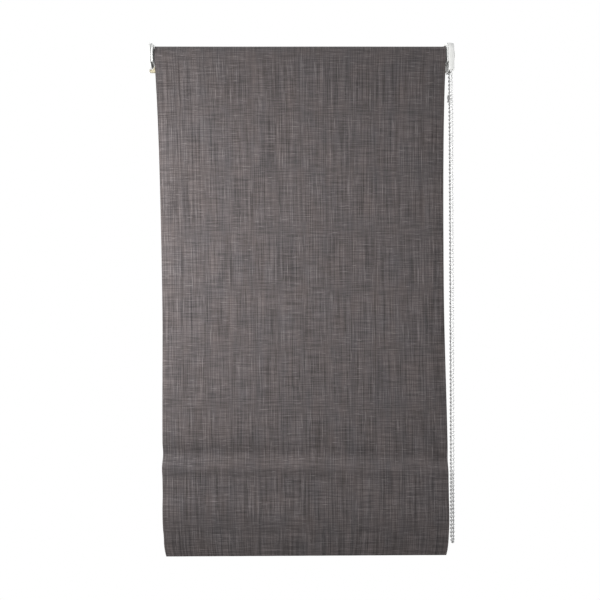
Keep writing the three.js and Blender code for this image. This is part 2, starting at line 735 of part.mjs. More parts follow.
// The pocket along the cloth's lower edge, the flat hollow bar in it and the bar's end pieces.
function addBottomBar() {
  const hem = new THREE.Group();
  const clothY = -AXIS_DEPTH - CLOTH_ROLL_RADIUS - GAP - CLOTH_THICKNESS / 2;
  const centreY = clothY + (HEM_HEIGHT / 2) * Math.sin(HEM_LEAN);
  hem.position.set(HEM_SHIFT, centreY, HEM_CENTRE_Z);
  hem.rotation.set(HEM_LEAN, -HEM_TILT, 0);
  blind.add(hem);

  const halfHem = HEM_LENGTH / 2;
  const inside = flatSection(HEM_DEPTH - 2 * HEM_WALL, HEM_HEIGHT - 2 * HEM_WALL);
  const pocket = acrossX(flatSection(HEM_DEPTH, HEM_HEIGHT), -halfHem, halfHem, 6).subtract(
    acrossX(inside, -halfHem - 1, halfHem + 1, 6),
  );
  addPiece(hem, "hem_pocket", cloth, pocket);

  const halfBar = BAR_LENGTH / 2;
  const slot = rectangle(
    -BAR_SLOT_DEPTH / 2,
    BAR_SLOT_DEPTH / 2,
    -BAR_SLOT_HEIGHT / 2,
    BAR_SLOT_HEIGHT / 2,
  );
  const section = flatSection(BAR_DEPTH, BAR_HEIGHT);
  const bar = acrossX(section, -halfBar, halfBar, 6).subtract(
    acrossX(slot, -halfBar - 1, halfBar + 1),
  );
  addPiece(hem, "bottom_bar", aluminium, bar);

  const tongueHalfDepth = BAR_SLOT_DEPTH / 2 - GAP;
  const tongueHalfHeight = BAR_SLOT_HEIGHT / 2 - GAP;
  const headStart = halfBar + GAP;
  const headEnd = headStart + BAR_HEAD_LENGTH;
  const end = acrossX(section, headStart, headEnd, 6).add(
    block(
      [halfBar - BAR_TONGUE_LENGTH, headStart + 1],
      [-tongueHalfDepth, tongueHalfDepth],
      [-tongueHalfHeight, tongueHalfHeight],
    ),
  );
  addPiece(hem, "bar_end_right", darkPlastic, end);
  addPiece(hem, "bar_end_left", darkPlastic, end.rotate([0, 0, 180]));
}

export default blind;
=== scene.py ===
"""A chain-operated roller blind, lowered to its stop and hanging from its two wall brackets.

Metres. +X runs along the roller towards the chain, +Y points into the wall, +Z is up.
The origin is in the wall plane, midway between the brackets, level with the roller's axis.
"""

import math

import bmesh
import bpy
import numpy as np
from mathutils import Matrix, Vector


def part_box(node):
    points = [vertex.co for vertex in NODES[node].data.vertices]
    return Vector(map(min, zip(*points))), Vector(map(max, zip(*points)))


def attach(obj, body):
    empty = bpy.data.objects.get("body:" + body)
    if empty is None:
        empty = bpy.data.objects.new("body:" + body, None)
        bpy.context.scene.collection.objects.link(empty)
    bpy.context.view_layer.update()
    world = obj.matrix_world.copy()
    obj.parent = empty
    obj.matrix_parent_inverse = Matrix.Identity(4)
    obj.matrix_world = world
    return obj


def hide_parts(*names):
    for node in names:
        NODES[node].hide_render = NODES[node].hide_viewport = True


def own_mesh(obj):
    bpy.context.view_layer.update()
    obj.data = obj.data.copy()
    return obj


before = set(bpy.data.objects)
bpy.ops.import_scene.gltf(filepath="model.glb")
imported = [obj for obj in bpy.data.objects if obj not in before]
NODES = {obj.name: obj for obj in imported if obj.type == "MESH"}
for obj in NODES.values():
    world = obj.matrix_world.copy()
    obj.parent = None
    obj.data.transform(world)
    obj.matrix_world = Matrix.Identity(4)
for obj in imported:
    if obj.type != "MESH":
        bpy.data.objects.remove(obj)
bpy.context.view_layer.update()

# ---- Sizes and places ----

MM = 0.001
AXIS_Y = -0.038  # the roller's axis, out from the wall
FLOOR_Z = -1.6

CLOTH_HALF_WIDTH = 0.225
CLOTH_THICKNESS = 0.0004
ROLL_INNER_RADIUS = 0.0133
ROLL_OUTER_RADIUS = 0.0144
ROLL_TURNS = 2.75
CLOTH_FRONT_Y = AXIS_Y - ROLL_OUTER_RADIUS  # the plane in which the cloth leaves the roll
EDGE_STRIP = 0.03  # the width of cloth at each side edge that bends back
EDGE_TURN = 0.27  # how far it bends at most, in radians
CLOTH_SHIFT = 0.0094  # how far the cloth has drifted towards the chain at CLOTH_SHIFT_DEPTH
CLOTH_SHIFT_DEPTH = 0.72
LEAD_BOTTOM_Z = -0.016  # the cloth is held by the roll's front down to here
DROP_BOTTOM_Z = -0.7499  # its lower edge, tucked into the top of the hem
BELLY_Z = -0.7  # above the hem the cloth bellies forward
BELLY_DEPTH = -0.0072
TUCK_DEPTH = -0.00243  # where its lower edge stands, inside the hem

# Folds across the cloth: how far forward in millimetres, at what height, and how tall.
FOLDS = (
    (-5.2, -0.619, 0.0125),
    (5.6, -0.638, 0.0115),
    (-2.6, -0.679, 0.014),
    (-1.4, -0.741, 0.007),
)

HEM_SHIFT = 0.0096
HEM_TILT = 0.0059
HEM_LEAN = 0.24
HEM_CENTRE_Z = -0.762
HEM_HEIGHT = 0.026
HEM_DEPTH = 0.0056
HEM_FOOT_ROUND = 0.0025  # the height of the rounded foot
HEM_BACK_TOP = 0.009  # above the hem's centre the back closes forward over the bar from here
HEM_FLANGE = 0.015  # the hem's front stands this far above its centre, in front of the cloth
HEM_TOP_Z = -0.7481
SEAM_HEIGHT = 0.0137
HEM_HALF_LENGTH = 0.2187
HEM_TAPER = 0.0027  # each end is this much shorter at the foot than at the top
HEM_CENTRE_Y = -0.0525 + HEM_HEIGHT / 2 * math.sin(HEM_LEAN)

BEAD_RADIUS = 0.00225
BEAD_PITCH = 0.006
STRING_RADIUS = 0.0009

CAMERA_PLACE = (0.0, -1.336, -0.3796)
LAMPS_AIM = (0, AXIS_Y, -0.31)
VIEWING_DISTANCE = CLOTH_FRONT_Y - CAMERA_PLACE[1]

# The bead chain's centreline: x, distance in front of the roller's axis, height, in millimetres.
# It starts on top of the sprocket, goes down the front and comes back up behind.
CHAIN_FRONT = [
    (233.4, 0.6, 9.53),
    (233.4, 4.78, 8.27),
    (233.4, 8.27, 4.78),
    (233.4, 9.55, 0),
    (233.5, 9.6, -9),
    (233.9, 9.7, -22),
    (234.4, 9.7, -42),
    (234.9, 9.7, -85),
    (235.5, 9.6, -200),
    (236.1, 9.5, -340),
    (236.6, 9.4, -480),
    (237.0, 9.3, -620),
    (237.2, 9.2, -700),
    (237.3, 9.2, -735),
    (237.3, 9.2, -747.2),
    (237.3, 8.5, -750.7),
    (237.3, 6.5, -753.7),
    (237.3, 3.5, -755.7),
]
CHAIN_FOOT = [(237.3, 0, -756.4)]
CHAIN_BACK = [(x, -front, z) for x, front, z in reversed(CHAIN_FRONT)]


def camera_and_light():
    """The eye is level with the middle of the cloth and looks straight at the wall."""
    camera = bpy.data.cameras.new("camera")
    camera.lens = 50
    camera.sensor_width = 36
    eye = bpy.data.objects.new("camera", camera)
    eye.location = CAMERA_PLACE
    eye.rotation_euler = (math.pi / 2, 0, 0)
    bpy.context.scene.collection.objects.link(eye)
    bpy.context.scene.camera = eye

    for name, place, size, power, spread in (
        ("key_light", (-0.64, -0.57, -0.26), 0.4, 5.6, 125),
        ("fill_light", (1.5, -1.5, 0.5), 1.4, 8, 180),
        ("side_light", (0.95, 0.12, -0.3), 0.9, 5, 180),
        ("back_light", (-0.5, 1.3, 0.6), 1.2, 9, 180),
    ):
        lamp = bpy.data.lights.new(name, "AREA")
        lamp.shape = "DISK"
        lamp.size = size
        lamp.energy = power
        lamp.spread = math.radians(spread)
        holder = bpy.data.objects.new(name, lamp)
        holder.location = place
        aim = np.array(LAMPS_AIM) - np.array(place)
        holder.rotation_euler = (
            math.acos(-aim[2] / np.linalg.norm(aim)),
            0,
            math.atan2(-aim[0], aim[1]),
        )
        bpy.context.scene.collection.objects.link(holder)

    bpy.context.scene.view_settings.view_transform = "Standard"
    world = bpy.data.worlds.new("studio")
    world.use_nodes = True
    bpy.context.scene.world = world
    tree = world.node_tree
    tree.nodes.clear()
    seen = tree.nodes.new("ShaderNodeBackground")
    seen.inputs["Color"].default_value = (1, 1, 1, 1)
    seen.inputs["Strength"].default_value = 1.0
    lit = tree.nodes.new("ShaderNodeBackground")
    lit.inputs["Color"].default_value = (0.98, 0.99, 1, 1)
    where = tree.nodes.new("ShaderNodeTexCoord")
    parts = tree.nodes.new("ShaderNodeSeparateXYZ")
    tree.links.new(where.outputs["Generated"], parts.inputs[0])
    total = tree.nodes.new("ShaderNodeMath")
    for i, (axis, start, low, high) in enumerate((("Z", -1, 0.06, 0.56), ("Y", 0, 0, 0.9))):
        fade = tree.nodes.new("ShaderNodeMapRange")
        fade.inputs["From Min"].default_value = start
        fade.inputs["To Min"].default_value = low
        fade.inputs["To Max"].default_value = high
        tree.links.new(parts.outputs[axis], fade.inputs["Value"])
        tree.links.new(fade.outputs[0], total.inputs[i])
    tree.links.new(total.outputs[0], lit.inputs["Strength"])
    path = tree.nodes.new("ShaderNodeLightPath")
    mix = tree.nodes.new("ShaderNodeMixShader")
    out = tree.nodes.new("ShaderNodeOutputWorld")
    tree.links.new(path.outputs["Is Camera Ray"], mix.inputs["Fac"])
    tree.links.new(lit.outputs[0], mix.inputs[1])
    tree.links.new(seen.outputs[0], mix.inputs[2])
    tree.links.new(mix.outputs[0], out.inputs["Surface"])


# ---- Finishes ----


def tone(red, green, blue):
    """A colour given by its display values, 0 to 255, as linear light."""
    share = np.array((red, green, blue)) / 255
    linear = np.where(share <= 0.04045, share / 12.92, ((share + 0.055) / 1.055) ** 2.4)
    return (*linear.tolist(), 1)


class Finish:
    """One material. Each method adds a node to it and returns the node's output."""

    def __init__(self, name, **settings):
        self.material = bpy.data.materials.new(name)
        self.material.use_nodes = True
        self.tree = self.material.node_tree
        self.shader = self.tree.nodes["Principled BSDF"]
        for socket, value in settings.items():
            self.shader.inputs[socket.replace("_", " ")].default_value = value

    def add(self, kind, inputs=(), **settings):
        node = self.tree.nodes.new(kind)
        for setting, value in settings.items():
            setattr(node, setting, value)
        for socket, value in dict(inputs).items():
            self.put(node.inputs[socket], value)
        return node

    def put(self, socket, value):
        if isinstance(value, bpy.types.NodeSocket):
            self.tree.links.new(value, socket)
        else:
            socket.default_value = value

    def place(self, space, scale=(1, 1, 1), turn=0):
        where = self.add("ShaderNodeTexCoord").outputs[space]
        inputs = {"Vector": where, "Scale": scale, "Rotation": (0, 0, turn)}
        return self.add("ShaderNodeMapping", inputs).outputs[0]

    def noise(self, place, scale, detail=2, roughness=0.5):
        inputs = {"Vector": place, "Scale": scale, "Detail": detail, "Roughness": roughness}
        return self.add("ShaderNodeTexNoise", inputs).outputs[0]

    def cells(self, place, scale):
        inputs = {"Vector": place, "Scale": scale}
        return self.add("ShaderNodeTexVoronoi", inputs).outputs["Distance"]

    def threads(self, place, scale, axis, wander=0.6):
        inputs = {"Vector": place, "Scale": scale, "Distortion": wander, "Detail": 1}
        node = self.add("ShaderNodeTexWave", inputs, bands_direction=axis)
        return node.outputs["Fac"]

    def spread(self, value, low, high, start=0.0, end=1.0):
        inputs = {0: value, 1: low, 2: high, 3: start, 4: end}
        return self.add("ShaderNodeMapRange", inputs).outputs[0]

    def sum(self, first, second, how="ADD"):
        return self.add("ShaderNodeMath", {0: first, 1: second}, operation=how).outputs[0]

    def blend(self, share, first, second, how="MIX"):
        inputs = {0: share, 6: first, 7: second}
        node = self.add("ShaderNodeMix", inputs, data_type="RGBA", blend_type=how)
        return node.outputs[2]

    def relief(self, height, strength, distance):
        inputs = {"Height": height, "Strength": strength, "Distance": distance}
        self.put(self.shader.inputs["Normal"], self.add("ShaderNodeBump", inputs).outputs[0])

    def set(self, socket, value):
        self.put(self.shader.inputs[socket], value)


def woven_cloth():
    """Dull melange cloth: warm and cool grey yarn, with thick slubs along both threads."""
    f = Finish("melange_cloth", Roughness=0.92, Sheen_Weight=0.12, Sheen_Roughness=0.5)
    f.set("Specular IOR Level", 0.2)
    patches = f.spread(f.noise(f.place("UV"), 20, 4, 0.6), 0.36, 0.64)
    streaks = f.spread(f.noise(f.place("UV", (75, 7, 1)), 1, 3, 0.6), 0.38, 0.62)
    share = f.sum(f.sum(patches, 0.6, "MULTIPLY"), f.sum(streaks, 0.4, "MULTIPLY"))
    yarn = f.blend(share, tone(87, 80, 79), tone(81, 77, 78))

    short_warp = f.noise(f.place("UV", (640, 11, 1)), 1, 3, 0.6)
    long_warp = f.sum(f.noise(f.place("UV", (700, 3.5, 1)), 1, 2, 0.5), 0.4, "MULTIPLY")
    warp = f.spread(f.sum(short_warp, long_warp), 0.54, 0.86, 0.6, 1.4)
    weft = f.spread(f.noise(f.place("UV", (26, 560, 1)), 1, 3, 0.55), 0.36, 0.64, 0.73, 1.27)
    grain = f.spread(f.noise(f.place("UV"), 900, 2, 0.7), 0.3, 0.7, 0.86, 1.14)
    value = f.sum(f.sum(warp, weft, "MULTIPLY"), grain, "MULTIPLY")
    colour = f.blend(1.0, yarn, value, "MULTIPLY")

    long_slubs = f.spread(f.noise(f.place("UV", (700, 17, 1)), 1.3, 1), 0.64, 0.7)
    short_slubs = f.spread(f.noise(f.place("UV", (44, 640, 1)), 1.2, 1), 0.66, 0.72)
    slubs = f.sum(long_slubs, short_slubs, "MAXIMUM")
    colour = f.blend(f.sum(slubs, 0.5, "MULTIPLY"), colour, tone(138, 131, 131))
    f.set("Base Color", colour)

    ends = f.threads(f.place("UV"), 320, "X")
    picks = f.threads(f.place("UV"), 290, "Y")
    height = f.sum(f.sum(ends, picks), f.sum(value, slubs))
    f.relief(height, 0.45, 0.00025)
    return f.material


def moulded_plastic(name, colour, shade, roughness=0.34, coarse=False):
    """Moulded plastic: faint flow marks in its colour and a fine spark-eroded skin."""
    f = Finish(name, IOR=1.49)
    place = f.place("Object")
    flow = f.spread(f.noise(place, 45, 3), 0.35, 0.65)
    f.set("Base Color", f.blend(flow, colour, shade))
    skin = f.noise(place, 5200 if coarse else 3600, 2, 0.6)
    rough = f.spread(f.noise(place, 160, 3), 0.3, 0.7, roughness - 0.05, roughness + 0.08)
    f.set("Roughness", rough)
    f.relief(skin, 0.22 if coarse else 0.1, 0.0001)
    return f.material


def chain_plastic():
    """Glossy white beads that let light pass into them."""
    f = Finish("bead_plastic", Subsurface_Weight=0.7, Subsurface_Scale=0.004)
    f.set("Subsurface Radius", (1, 1, 1))
    place = f.place("Object")
    cloud = f.spread(f.noise(place, 260, 2), 0.35, 0.65)
    f.set("Base Color", f.blend(cloud, tone(248, 248, 246), tone(240, 240, 238)))
    f.set("Roughness", f.spread(f.noise(place, 900, 2), 0.3, 0.7, 0.22, 0.36))
    f.relief(f.noise(place, 2400, 2), 0.08, 0.0001)
    return f.material


def drawn_metal(name, colour, shade, roughness, along=(30, 2600, 2600)):
    """Bare metal with fine lines along the way it was drawn and a patchy bloom."""
    f = Finish(name, Metallic=1.0)
    lines = f.noise(f.place("Object", along), 1, 3, 0.6)
    bloom = f.spread(f.noise(f.place("Object"), 90, 4), 0.35, 0.68)
    f.set("Base Color", f.blend(bloom, colour, shade))
    f.set("Roughness", f.spread(lines, 0.3, 0.7, roughness - 0.08, roughness + 0.12))
    f.relief(lines, 0.15, 0.0001)
    return f.material


def zinc_plate():
    """Yellow passivated zinc: straw to olive clouds and small dull spots."""
    f = Finish("yellow_zinc", Metallic=0.85)
    place = f.place("Object")
    cloud = f.spread(f.noise(place, 70, 4, 0.6), 0.35, 0.65)
    tint = f.blend(cloud, tone(150, 140, 116), tone(132, 128, 112))
    spots = f.spread(f.cells(place, 420), 0.08, 0.2, 0.6, 0)
    f.set("Base Color", f.blend(spots, tint, tone(104, 92, 70)))
    f.set("Roughness", f.spread(f.noise(place, 300, 3), 0.3, 0.7, 0.34, 0.55))
    f.relief(f.noise(place, 1500, 3), 0.12, 0.0001)
    return f.material


def backing_tape():
    """Double-sided tape: cream film with fine creases across it."""
    f = Finish("adhesive_tape", Roughness=0.7)
    creases = f.noise(f.place("Object", (300, 40, 40)), 1, 3)
    share = f.spread(creases, 0.4, 0.6)
    f.set("Base Color", f.blend(share, tone(233, 229, 212), tone(214, 206, 180)))
    f.relief(creases, 0.3, 0.0002)
    return f.material


def sewing_thread():
    """Twisted polyester thread, a little lighter than the cloth."""
    f = Finish("hem_thread", Roughness=0.6, Sheen_Weight=0.2)
    twist = f.threads(f.place("Object", turn=0.6), 900, "DIAGONAL", 0.3)
    f.set("Base Color", f.blend(twist, tone(120, 118, 116), tone(152, 150, 146)))
    f.relief(twist, 0.4, 0.0001)
    return f.material


def pale_floor():
    """Plain matt board for the studio floor."""
    f = Finish("studio_floor", Roughness=0.8)
    share = f.spread(f.noise(f.place("Object"), 6, 3), 0.3, 0.7)
    f.set("Base Color", f.blend(share, tone(236, 236, 234), tone(230, 230, 229)))
    return f.material


# ---- Surfaces ----


def new_piece(name, mesh, material, body):
    piece = bpy.data.objects.new(name, mesh)
    bpy.context.scene.collection.objects.link(piece)
    mesh.materials.append(material)
    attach(piece, body)
    return piece


def grid_mesh(name, points, uv=None, around=False, closed_ends=False, flip=False):
    """A mesh from points on a grid of rows by columns. Around joins the last column to the
    first, closed_ends fills the first and last row, and flip turns the faces over."""
    rows, columns = points.shape[:2]
    index = np.arange(rows * columns).reshape(rows, columns)
    ahead = np.roll(index, -1, axis=1) if around else index[:, 1:]
    here = index if around else index[:, :-1]
    corners = np.stack([here[:-1], ahead[:-1], ahead[1:], here[1:]], axis=-1).reshape(-1, 4)
    if flip:
        corners = corners[:, ::-1]
    faces = corners.tolist()
    if closed_ends:
        ends = [index[0].tolist()[::-1], index[-1].tolist()]
        faces += [end[::-1] for end in ends] if flip else ends
    mesh = bpy.data.meshes.new(name)
    mesh.from_pydata(points.reshape(-1, 3).tolist(), [], faces)
    mesh.shade_smooth()
    if uv is not None:
        layer = mesh.uv_layers.new(name="UVMap")
        at = np.zeros(len(mesh.loops), np.int32)
        mesh.loops.foreach_get("vertex_index", at)
        layer.data.foreach_set("uv", uv.reshape(-1, 2)[at].astype(np.float32).ravel())
    mesh.validate()
    return mesh


def thicken(piece, thickness, offset=0.0):
    """Gives a surface a wall. Its open edges stay sharp, so that the wall's rim is square."""
    mesh = piece.data
    edge_of_loop = np.zeros(len(mesh.loops), np.int32)
    mesh.loops.foreach_get("edge_index", edge_of_loop)
    faces_at_edge = np.bincount(edge_of_loop, minlength=len(mesh.edges))
    sharp = mesh.attributes.new("sharp_edge", "BOOLEAN", "EDGE")
    sharp.data.foreach_set("value", faces_at_edge == 1)
    wall = piece.modifiers.new("thickness", "SOLIDIFY")
    wall.thickness = thickness
    wall.offset = offset
    wall.use_even_offset = True
    return wall


def smoothstep(low, high, value):
    share = np.clip((value - low) / (high - low), 0, 1)
    return share * share * (3 - 2 * share)


def bump_at(value, centre, width):
    """A rounded hump of height one, about twice its width across."""
    return np.exp(-(((value - centre) / width) ** 2))


# ---- Cloth ----


def edge_turn(z):
    """How far each edge strip has turned back, in radians: most at mid-height, none at the roll."""
    grown = 1 - np.exp(np.minimum(z - LEAD_BOTTOM_Z, 0) / 0.085)
    relaxed = 1 - 0.5 * smoothstep(0.42, 0.66, -z) - 0.5 * smoothstep(0.66, 0.752, -z)
    return EDGE_TURN * grown * relaxed


def seen_half_width(z):
    """Half the width the cloth shows from the front: it narrows below the roll, then widens
    again towards the stiff bar in its hem."""
    narrowing = 0.0174 * np.exp(np.minimum(z, 0) / 0.135)
    widening = 0.0067 * smoothstep(0.36, 0.64, -z) - 0.0022 * smoothstep(0.715, 0.76, -z)
    return (0.4326 + narrowing + widening) / 2


def belly(z):
    """The cloth's lower end stands forward of the plane it hangs in, on two smooth spans: out
    to its deepest at BELLY_Z, then back along the lean of the hem that it enters."""
    out = BELLY_DEPTH * smoothstep(0.62, -BELLY_Z, -z)
    span = BELLY_Z - DROP_BOTTOM_Z
    share = np.clip((BELLY_Z - z) / span, 0, 1)
    ease = share * share * (3 - 2 * share)
    end_slope = math.tan(HEM_LEAN) * span * (share**3 - share**2)
    back = BELLY_DEPTH + (TUCK_DEPTH - BELLY_DEPTH) * ease + end_slope
    return np.where(z > BELLY_Z, out, back)


def cloth_waves(across, z):
    """Soft folds across the cloth above the hem, stronger on the side away from the chain, and
    two very slight hollows that run down it."""
    side = 0.8 - 0.3 * across
    level = z + 0.004 * across + 0.003 * across**2
    folds = sum(depth * bump_at(level, height, width) for depth, height, width in FOLDS)
    hollows = 0.9 * np.sin(2.2 * across + 0.6) * smoothstep(0.05, 0.35, -z)
    return (-folds * side + hollows) * MM


def cloth_surface(top, bottom, rows, columns):
    """The hanging cloth. Across it the middle is flat and a strip at each edge bends back on a
    round arc. Down it the cloth eases back a little, shifts towards the chain, and is drawn in
    so that its seen width is the one given by seen_half_width."""
    across = np.linspace(-1, 1, columns)
    across = across * (1.25 - 0.25 * across**2)
    z = np.linspace(top, bottom, rows)[:, None]
    run = np.abs(across)[None, :] * CLOTH_HALF_WIDTH
    turn = np.maximum(edge_turn(z), 1e-4)
    past = np.maximum(run - (CLOTH_HALF_WIDTH - EDGE_STRIP), 0)
    radius = EDGE_STRIP / turn
    angle = past / radius
    out = np.minimum(run, CLOTH_HALF_WIDTH - EDGE_STRIP) + radius * np.sin(angle)
    back = radius * (1 - np.cos(angle))
    ease = 0.003 * smoothstep(0.1, 0.4, -z) - 0.003 * smoothstep(0.42, 0.7, -z)
    depth = back + ease
    needed = seen_half_width(z) * (VIEWING_DISTANCE + depth[:, -1:]) / VIEWING_DISTANCE
    drawn_in = needed / out[:, -1:]
    centre = CLOTH_SHIFT * np.clip(-z, 0, None) / CLOTH_SHIFT_DEPTH
    x = centre + np.sign(across)[None, :] * out * drawn_in
    calm = smoothstep(0.0, 0.05, LEAD_BOTTOM_Z - z) * smoothstep(DROP_BOTTOM_Z, -0.735, z)
    y = CLOTH_FRONT_Y + depth + belly(z) + calm * cloth_waves(across[None, :], z)
    height = z + HEM_TILT * x * smoothstep(0.6, 0.748, -z)
    points = np.stack([x, y, np.broadcast_to(height, x.shape)], axis=-1)
    run_x = np.broadcast_to(across[None, :] * CLOTH_HALF_WIDTH, x.shape)
    uv = np.stack([run_x, np.broadcast_to(z, x.shape)], axis=-1)
    return points, uv


def cloth_turns():
    """The turns left on the tube: a spiral from the tube outwards that comes over the top and
    ends at the roll's front. Each turn's edge lies a hair in or out of the one below."""
    rows, columns = 220, 40
    share = np.linspace(0, 1, rows)[:, None]
    angle = math.pi - (1 - share) * ROLL_TURNS * 2 * math.pi
    radius = ROLL_INNER_RADIUS + (ROLL_OUTER_RADIUS - ROLL_INNER_RADIUS) * share
    half = CLOTH_HALF_WIDTH - 0.00035 * (1 + np.sin(9.5 * share + 1.1)) * (1 - share**4)
    across = np.linspace(-1, 1, columns)[None, :]
    sag = 0.00006 * np.sin(5 * across + 14 * share)
    x = across * half
    y = AXIS_Y + (radius + sag) * np.cos(angle)
    z = (radius + sag) * np.sin(angle)
    points = np.stack([x, y, z], axis=-1)
    length = (1 - share) * ROLL_TURNS * 2 * math.pi * radius
    uv = np.stack([x, np.broadcast_to(length, x.shape)], axis=-1)
    return points, uv


def hem_place(points):
    """Turns points about the hem's own centre and moves them to where the hem hangs."""
    x, y, z = points[..., 0], points[..., 1], points[..., 2]
    tilt_c, tilt_s = math.cos(HEM_TILT), math.sin(HEM_TILT)
    lean_c, lean_s = math.cos(HEM_LEAN), math.sin(HEM_LEAN)
    along = x * tilt_c - z * tilt_s
    up = x * tilt_s + z * tilt_c
    out = y * lean_c - up * lean_s
    rise = y * lean_s + up * lean_c
    place = np.array((HEM_SHIFT, HEM_CENTRE_Y, HEM_CENTRE_Z))
    return np.stack([along, out, rise], axis=-1) + place


def hem_section(steps):
    """The pocket's section, open at its top front where the cloth comes in: straight down the
    front, half an ellipse round the foot, straight up the back, then a cubic curve forward over
    the bar to the seam. The front has one slight crease. Also gives the length along it."""
    half, foot = HEM_DEPTH / 2, -HEM_HEIGHT / 2 + HEM_FOOT_ROUND
    front = np.linspace(HEM_FLANGE, foot, steps)
    crease = half + 0.0003 * bump_at(front, -0.0035, 0.0011)
    round_foot = np.linspace(0, math.pi, steps // 2)[1:]
    back = np.linspace(foot, HEM_BACK_TOP, steps // 2)[1:]
    share = np.linspace(0, 1, steps // 2)[1:, None]
    corners = np.array([(half, HEM_BACK_TOP), (half, 0.013), (-0.001, 0.0129), (-0.0019, 0.0146)])
    weights = ((1 - share) ** 3, 3 * (1 - share) ** 2 * share, 3 * (1 - share) * share**2, share**3)
    closing = sum(weight * corner for weight, corner in zip(weights, corners))
    y = np.concatenate([-crease, -half * np.cos(round_foot), np.full(len(back), half), closing[:, 0]])
    low = foot - (foot + HEM_HEIGHT / 2) * np.sin(round_foot)
    z = np.concatenate([front, low, back, closing[:, 1]])
    length = np.concatenate([[0], np.cumsum(np.hypot(np.diff(y), np.diff(z)))])
    return y, z, length


def hem_pocket_surface():
    """The hem pocket: its section carried along the cloth's lower edge. Its ends draw in
    towards the foot, and its skin swells and sinks a very little along the bar."""
    rows = 240
    y, z, length = hem_section(26)
    share = np.linspace(-1, 1, rows)[:, None]
    down = np.clip(0.5 - z[None, :] / HEM_HEIGHT, 0, 1)
    reach = HEM_HALF_LENGTH - HEM_TAPER * down**2
    x = share * reach
    loose = 1 + 0.04 * np.sin(31 * share + 4 * z[None, :] / HEM_HEIGHT) * (z[None, :] < 0.01)
    points = np.stack([x, y[None, :] * loose, np.broadcast_to(z, x.shape)], axis=-1)
    run = np.broadcast_to(HEM_TOP_Z - length, x.shape)
    across = np.broadcast_to(share * CLOTH_HALF_WIDTH, x.shape)
    uv = np.stack([across, run], axis=-1)
    return hem_place(points), uv


def hem_stitches():
    """A row of short stitches in front and behind, each a thin spindle that dips in at its
    ends, a few millimetres apart along the hem's top."""
    pitch, length, radius = 0.0031, 0.0026, 0.00022
    rings, sides = 6, 6
    count = int(2 * (HEM_HALF_LENGTH - 0.004) / pitch)
    centres = (np.arange(count) - (count - 1) / 2) * pitch
    share = np.linspace(0, 1, rings)
    swell = np.sqrt(np.clip(1 - (2 * share - 1) ** 4, 0.02, 1))
    angle = np.linspace(0, 2 * math.pi, sides, endpoint=False)
    points, faces, start = [], [], 0
    for side, seat in ((-1, 0.0030), (1, -0.0014)):
        x = centres[:, None, None] + ((share - 0.5) * length)[None, :, None]
        out = side * (seat - 0.00025 * (2 * share - 1)[None, :, None] ** 2)
        y = out + (radius * swell)[None, :, None] * np.cos(angle)[None, None, :]
        z = SEAM_HEIGHT + (radius * swell)[None, :, None] * np.sin(angle)[None, None, :]
        shape = (count, rings, sides)
        block = [np.broadcast_to(part, shape) for part in (x, y, z)]
        points.append(hem_place(np.stack(block, axis=-1)).reshape(-1, 3))
        index = np.arange(count * rings * sides).reshape(shape) + start
        ahead = np.roll(index, -1, axis=2)
        skin = [index[:, :-1], index[:, 1:], ahead[:, 1:], ahead[:, :-1]]
        faces += np.stack(skin, axis=-1).reshape(-1, 4).tolist()
        faces += index[:, 0, :].tolist() + index[:, -1, ::-1].tolist()
        start += count * rings * sides
    mesh = bpy.data.meshes.new("hem_stitching")
    mesh.from_pydata(np.concatenate(points).tolist(), [], faces)
    mesh.shade_smooth()
    return mesh


def make_cloth(cloth, thread):
    lead_points, lead_uv = cloth_surface(0.0, LEAD_BOTTOM_Z, 6, 121)
    lead_mesh = grid_mesh("cloth_lead", lead_points, lead_uv)
    lead = new_piece("cloth_lead", lead_mesh, cloth, "wall_fixed")
    thicken(lead, CLOTH_THICKNESS)

    points, uv = cloth_surface(LEAD_BOTTOM_Z, DROP_BOTTOM_Z, 261, 121)
    drop = new_piece("cloth_drop", grid_mesh("cloth_drop", points, uv), cloth, "wall_fixed")
    thicken(drop, CLOTH_THICKNESS)
    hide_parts("cloth_sheet")

    turn_points, turn_uv = cloth_turns()
    turns_mesh = grid_mesh("cloth_turns", turn_points, turn_uv)
    turns = new_piece("cloth_turns", turns_mesh, cloth, "roller")
    thicken(turns, CLOTH_THICKNESS * 0.9)
    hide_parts("cloth_roll")

    hem_points, hem_uv = hem_pocket_surface()
    hem_mesh = grid_mesh("hem_sleeve", hem_points, hem_uv, flip=True)
    hem = new_piece("hem_sleeve", hem_mesh, cloth, "hem")
    thicken(hem, CLOTH_THICKNESS, -1.0)
    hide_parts("hem_pocket")

    stitches = new_piece("hem_stitching", hem_stitches(), thread, "hem")

    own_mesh(drop)


# ---- Bead chain ----


def smooth_route(points, steps):
    """A centripetal Catmull-Rom curve through the points, sampled evenly along its length."""
    points = np.array(points, float)
    padded = np.vstack([2 * points[0] - points[1], points, 2 * points[-1] - points[-2]])
    fine = []
    share = np.linspace(0, 1, 24, endpoint=False)[:, None]
    for a, b, c, d in zip(padded, padded[1:], padded[2:], padded[3:]):
        knots = np.cumsum([0, *(np.linalg.norm(q - p) ** 0.5 for p, q in ((a, b), (b, c), (c, d)))])
        t = knots[1] + share * (knots[2] - knots[1])

        def between(p, q, i, j):
            return ((knots[j] - t) * p + (t - knots[i]) * q) / (knots[j] - knots[i])

        ab, bc, cd = between(a, b, 0, 1), between(b, c, 1, 2), between(c, d, 2, 3)
        fine.append(between(between(ab, bc, 0, 2), between(bc, cd, 1, 3), 1, 2))
    fine = np.vstack([*fine, points[-1:]])
    along = np.concatenate([[0], np.cumsum(np.linalg.norm(np.diff(fine, axis=0), axis=1))])
    even = np.linspace(0, along[-1], steps)
    return np.stack([np.interp(even, along, fine[:, i]) for i in range(3)], axis=-1), along[-1]


